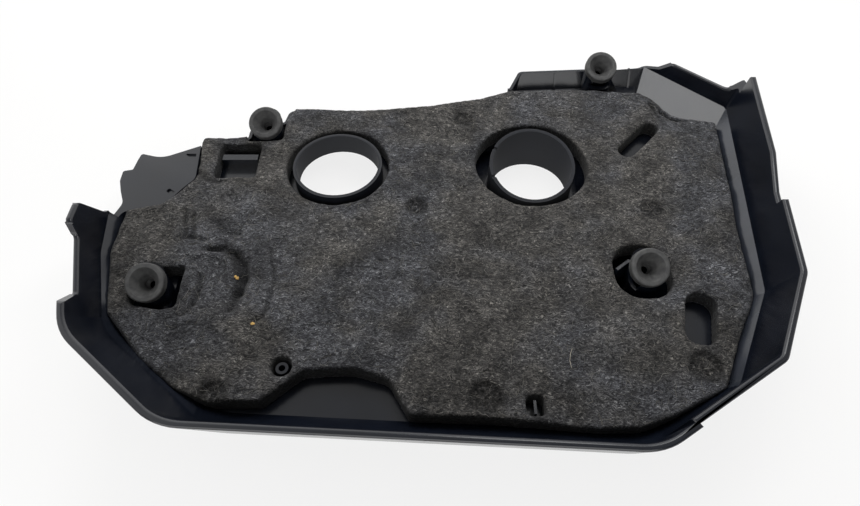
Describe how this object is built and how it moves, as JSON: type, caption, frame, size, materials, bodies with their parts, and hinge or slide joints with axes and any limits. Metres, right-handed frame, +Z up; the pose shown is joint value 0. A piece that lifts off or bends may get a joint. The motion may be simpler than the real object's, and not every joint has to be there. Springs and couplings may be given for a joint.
{
  "type": "engine cover",
  "caption": "Moulded engine cover seen from inside: flared skirt, round openings with collars, felt insulation mat and rubber ball-stud grommets on towers.",
  "frame": {"origin": "on the flat show panel that the cover lies on, midway between the two round openings", "axes": "+X from the left opening to the right one, +Y to the low back edge, +Z up out of the open inside"},
  "size_m": [0.5873, 0.4244, 0.079],
  "materials": {
    "moulded_plastic": "black satin moulding with a fine grain",
    "needled_felt": "charcoal heather needled felt, pressed at the weld points",
    "rubber": "matt dark grey rubber, dusty"
  },
  "bodies": {
    "root": {"cover_shell": "moulded_plastic", "insulation_felt": "needled_felt", "grommet_front_left": "rubber", "grommet_rear_left": "rubber", "grommet_rear_right": "rubber", "grommet_front_right": "rubber"}
  },
  "joints": []
}
